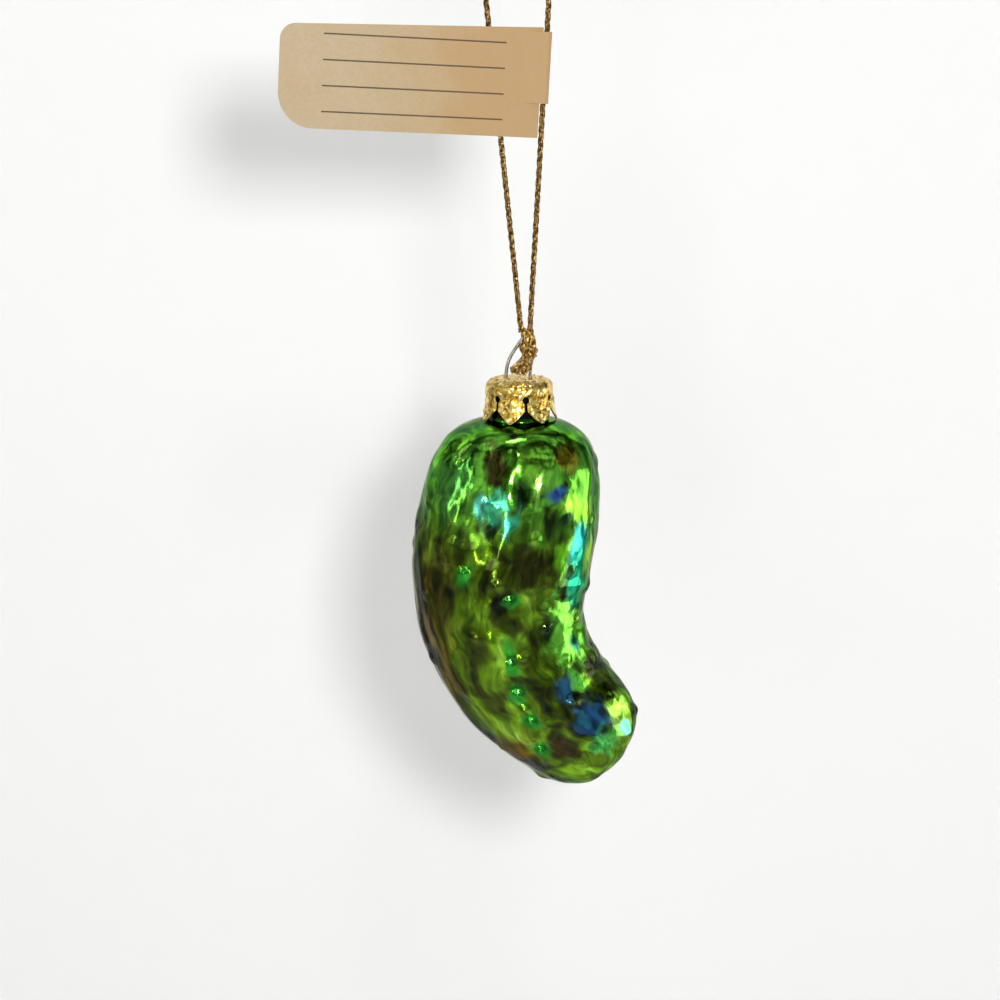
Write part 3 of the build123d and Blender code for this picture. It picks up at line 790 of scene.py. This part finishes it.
for column in range(TAG_COLUMNS):
    for row in range(TAG_ROWS):
        corner = column * (TAG_ROWS + 1) + row
        quad = [corner, corner + TAG_ROWS + 1, corner + TAG_ROWS + 2, corner + 1]
        tag_faces.append(tuple(quad))
        tag_faces.append(tuple((len(layers) - 1) * layer_size + k for k in reversed(quad)))
for layer in range(len(layers) - 1):
    for here, following in zip(border, border[1:] + border[:1]):
        low, high = layer * layer_size, (layer + 1) * layer_size
        tag_faces.append((low + following, low + here, high + here, high + following))


def fold_profile(radius, start):
    """Section of the fold: from the leaf's face up over the strand, round it and back to the other face."""
    turns = np.linspace(FOLD_OPENING, 2 * pi - FOLD_OPENING, FOLD_STEPS)
    rise = np.linspace(0, 1, FOLD_RISE_STEPS)[:-1]
    x = FOLD_REACH + (radius * cos(turns[0]) - FOLD_REACH) * rise
    y = start + (radius * sin(turns[0]) - start) * (1 - np.cos(pi * rise)) / 2
    return np.stack([np.concatenate([x, radius * np.cos(turns), x[::-1]]),
                     np.concatenate([y, radius * np.sin(turns), -y[::-1]])], axis=1)


fold_start = len(tag_points)
fold_inner = fold_profile(FOLD_R, 0.0)
fold_outer = fold_profile(FOLD_R + PAPER, FOLD_LIFT)
fold_low = FOLD_SHIFT - FOLD_LENGTH / 2
fold_high = FOLD_SHIFT + FOLD_LENGTH / 2
for inner, outer in zip(fold_inner, fold_outer):
    for (x, across), up in [(inner, fold_low), (outer, fold_low), (outer, fold_high), (inner, fold_high)]:
        tag_points.append(tag_place + strand_up * up + tag_out * x + tag_front * across)
        tag_sheet.append((x, across, up))
for number in range(len(fold_outer) - 1):
    for side in range(4):
        here, following = fold_start + 4 * number, fold_start + 4 * number + 4
        tag_faces.append((here + side, following + side, following + (side + 1) % 4, here + (side + 1) % 4))
tag_faces.append(tuple(fold_start + k for k in range(4)))
tag_faces.append(tuple(fold_start + 4 * (len(fold_outer) - 1) + k for k in reversed(range(4))))
tag = make_piece("folded_label", tag_points, tag_faces)
store_places(tag, "sheet", tag_sheet)
tag.data.set_sharp_from_angle(angle=EDGE_ANGLE)

# Uncoated beige card: matt, faintly fibrous, a little browner towards the strand, with plain ruled lines.
card, tree, shader = new_material("uncoated_beige_card")
sheet = add_node(tree, "ShaderNodeAttribute", attribute_name="sheet").outputs["Vector"]
on_sheet = add_node(tree, "ShaderNodeSeparateXYZ", {"Vector": sheet}).outputs
fibres = add_node(tree, "ShaderNodeTexNoise", {"Vector": sheet, "Scale": 1 / (0.5 * MM), "Detail": 4.0})
stain = add_node(tree, "ShaderNodeTexNoise", {"Vector": sheet, "Scale": 1 / (9 * MM), "Detail": 3.0})
ageing = add_node(tree, "ShaderNodeMapRange", {"Value": on_sheet["X"], "From Min": 40 * MM, "From Max": 0.0})
tone = add_node(tree, "ShaderNodeMath", {0: stain.outputs["Fac"], 1: 0.7, 2: ageing.outputs[0]},
                operation="MULTIPLY_ADD")
card_tone = add_node(tree, "ShaderNodeValToRGB", {"Fac": tone.outputs[0]},
                     stops=[(0.3, "#c2ae8e"), (1.0, "#bc9a6e"), (0.7, "#bea681")])
fibre_share = add_node(tree, "ShaderNodeMapRange", {"Value": fibres.outputs["Fac"], "From Min": 0.3,
                                                    "From Max": 0.7, "To Min": 0.0, "To Max": 0.25})
card_mix = add_node(tree, "ShaderNodeMix", {0: fibre_share.outputs[0], 6: card_tone.outputs["Color"],
                                            7: srgb("#a98f66")}, data_type="RGBA")
fibre_bump = add_node(tree, "ShaderNodeBump", {"Height": fibres.outputs["Fac"], "Strength": 0.3,
                                               "Distance": 0.05 * MM})
line_place = add_node(tree, "ShaderNodeMath", {0: on_sheet["Z"], 1: 1 / LINE_SPACING, 2: 1.0},
                      operation="MULTIPLY_ADD")
line_phase = add_node(tree, "ShaderNodeMath", {0: line_place.outputs[0]}, operation="FRACT")
line_off = add_node(tree, "ShaderNodeMath", {0: line_phase.outputs[0], 1: 0.5}, operation="SUBTRACT")
line_away = add_node(tree, "ShaderNodeMath", {0: line_off.outputs[0]}, operation="ABSOLUTE")
on_line = add_node(tree, "ShaderNodeMath", {0: line_away.outputs[0], 1: LINE_WIDTH / LINE_SPACING / 2},
                   operation="LESS_THAN")
past_start = add_node(tree, "ShaderNodeMath", {0: on_sheet["X"], 1: LINE_START}, operation="GREATER_THAN")
before_end = add_node(tree, "ShaderNodeMath", {0: on_sheet["X"], 1: LINE_END}, operation="LESS_THAN")
in_run = add_node(tree, "ShaderNodeMath", {0: past_start.outputs[0], 1: before_end.outputs[0]},
                  operation="MULTIPLY")
ink = add_node(tree, "ShaderNodeMath", {0: on_line.outputs[0], 1: in_run.outputs[0]}, operation="MULTIPLY")
ruled = add_node(tree, "ShaderNodeMix", {0: ink.outputs[0], 6: card_mix.outputs[2], 7: srgb("#5c4c38")},
                 data_type="RGBA")
tree.links.new(ruled.outputs[2], shader.inputs["Base Color"])
tree.links.new(fibre_bump.outputs["Normal"], shader.inputs["Normal"])
shader.inputs["Roughness"].default_value = 0.8
tag.data.materials.append(card)
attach(tag, "tag")
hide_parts("paper_tag")


# Stage
# White card behind the ornament and a pale floor below, in a pale room whose uneven ceiling the bulb mirrors.
# A small lamp beside the camera does most, a narrow one draws a line down the left, and the rest fill in.
CARD_Y = 0.135
CARD_HALF_WIDTH = 0.18
CARD_TOP = 0.04
CARD_LIFT = 0.05
FLOOR_Z = -0.42
FLOOR_HALF_WIDTH = 4.0
ROOM_STRENGTH = 0.75
VIEW_TARGET = Vector((-3.3, 0.0, -118.9)) * MM
VIEW_ELEVATION = radians(12)
VIEW_DISTANCE = 0.5
VIEW_WIDTH = 0.205
SENSOR = 36.0


def stage_plane(name, corners, material):
    """Flat backdrop that isn't part of the model."""
    piece = make_piece(name, corners, [(0, 1, 2, 3)])
    piece.data.materials.append(material)
    piece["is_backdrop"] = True


def matt_backdrop(name, colour):
    """Dull, even surface that can be looked through from behind or below, so that it hides nothing there."""
    material, tree, shader = new_material(name)
    shader.inputs["Base Color"].default_value = srgb(colour)
    shader.inputs["Roughness"].default_value = 0.9
    shader.inputs["Specular IOR Level"].default_value = 0.0
    see_through = add_node(tree, "ShaderNodeBsdfTransparent")
    behind = add_node(tree, "ShaderNodeNewGeometry").outputs["Backfacing"]
    one_way = add_node(tree, "ShaderNodeMixShader", {0: behind, 1: shader.outputs[0],
                                                     2: see_through.outputs[0]})
    tree.links.new(one_way.outputs[0], tree.nodes["Material Output"].inputs["Surface"])
    return material, tree, shader


# Matt white card: no gloss, lifted a little where it is seen or mirrored, so that it looks white.
white_card, tree, shader = matt_backdrop("matt_white_card", "#fafafa")
rays = add_node(tree, "ShaderNodeLightPath").outputs
mirrored = add_node(tree, "ShaderNodeMath", {0: rays["Is Glossy Ray"], 1: rays["Is Transmission Ray"]},
                    operation="MAXIMUM")
shown = add_node(tree, "ShaderNodeMath", {0: rays["Is Camera Ray"], 1: mirrored.outputs[0]},
                 operation="MAXIMUM")
lift = add_node(tree, "ShaderNodeMath", {0: shown.outputs[0], 1: CARD_LIFT}, operation="MULTIPLY")
tree.links.new(lift.outputs[0], shader.inputs["Emission Strength"])
card_corners = [(-1, FLOOR_Z), (1, FLOOR_Z), (1, CARD_TOP), (-1, CARD_TOP)]
stage_plane("card_behind", [(side * CARD_HALF_WIDTH, CARD_Y, z) for side, z in card_corners], white_card)

# Pale floor paint: dull and a shade greyer than the card.
floor_paint, _, _ = matt_backdrop("pale_floor_paint", "#e8e8e6")
floor_corners = [(-1, -1), (1, -1), (1, 1), (-1, 1)]
stage_plane("floor", [(x * FLOOR_HALF_WIDTH, y * FLOOR_HALF_WIDTH, FLOOR_Z) for x, y in floor_corners],
            floor_paint)


def soft_lamp(name, place, width, height, watts):
    """Rectangular lamp aimed at the bulb."""
    lamp = bpy.data.lights.new(name, "AREA")
    lamp.shape = "RECTANGLE"
    lamp.size = width
    lamp.size_y = height
    lamp.energy = watts
    holder = bpy.data.objects.new(name, lamp)
    holder.location = place
    holder.rotation_euler = (VIEW_TARGET - Vector(place)).to_track_quat("-Z", "Y").to_euler()
    holder.visible_camera = False
    bpy.context.scene.collection.objects.link(holder)


soft_lamp("beside_camera", (0.08, -0.55, 0.045), 0.07, 0.07, 1.7)
soft_lamp("line_on_left", (-0.45, -0.19, 0.03), 0.02, 0.3, 0.22)
soft_lamp("overhead", (0.02, -0.04, 0.55), 0.1, 0.1, 0.75)
soft_lamp("high_in_front", (0.06, -0.45, 0.3), 0.05, 0.05, 0.2)
soft_lamp("low_on_right", (0.5, 0.07, -0.2), 0.3, 0.3, 0.5)
soft_lamp("low_in_front", (-0.12, -0.55, -0.27), 0.03, 0.12, 0.15)
soft_lamp("left_of_camera", (-0.187, -0.536, -0.104), 0.3, 0.11, 0.2)

world = bpy.data.worlds.new("room")
world.use_nodes = True
tree = world.node_tree
direction = add_node(tree, "ShaderNodeTexCoord").outputs["Generated"]
room = add_node(tree, "ShaderNodeTexNoise", {"Vector": direction, "Scale": 3.2, "Detail": 2.0})
room_tone = add_node(tree, "ShaderNodeValToRGB", {"Fac": room.outputs["Fac"]},
                     stops=[(0.40, "#181816"), (0.60, "#f8f8f6"), (0.5, "#949492")])
height = add_node(tree, "ShaderNodeSeparateXYZ", {"Vector": direction}).outputs["Z"]
overhead = add_node(tree, "ShaderNodeMapRange", {"Value": height, "From Min": 0.25, "From Max": 0.4})
rays = add_node(tree, "ShaderNodeLightPath").outputs
unseen = add_node(tree, "ShaderNodeMath", {0: 1.0, 1: rays["Is Camera Ray"]}, operation="SUBTRACT")
ceiling = add_node(tree, "ShaderNodeMath", {0: overhead.outputs[0], 1: unseen.outputs[0]},
                   operation="MULTIPLY")
surround = add_node(tree, "ShaderNodeMix", {0: ceiling.outputs[0], 6: srgb("#dcdcda"),
                                            7: room_tone.outputs["Color"]}, data_type="RGBA")
tree.links.new(surround.outputs[2], tree.nodes["Background"].inputs["Color"])
tree.nodes["Background"].inputs["Strength"].default_value = ROOM_STRENGTH
bpy.context.scene.world = world

lens = bpy.data.cameras.new("camera")
lens.sensor_width = SENSOR
lens.lens = SENSOR * VIEW_DISTANCE / VIEW_WIDTH
camera = bpy.data.objects.new("camera", lens)
camera.location = VIEW_TARGET + VIEW_DISTANCE * Vector((0, -cos(VIEW_ELEVATION), sin(VIEW_ELEVATION)))
camera.rotation_euler = (VIEW_TARGET - camera.location).to_track_quat("-Z", "Y").to_euler()
bpy.context.scene.collection.objects.link(camera)
bpy.context.scene.camera = camera
bpy.context.scene.view_settings.view_transform = "Standard"

low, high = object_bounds()
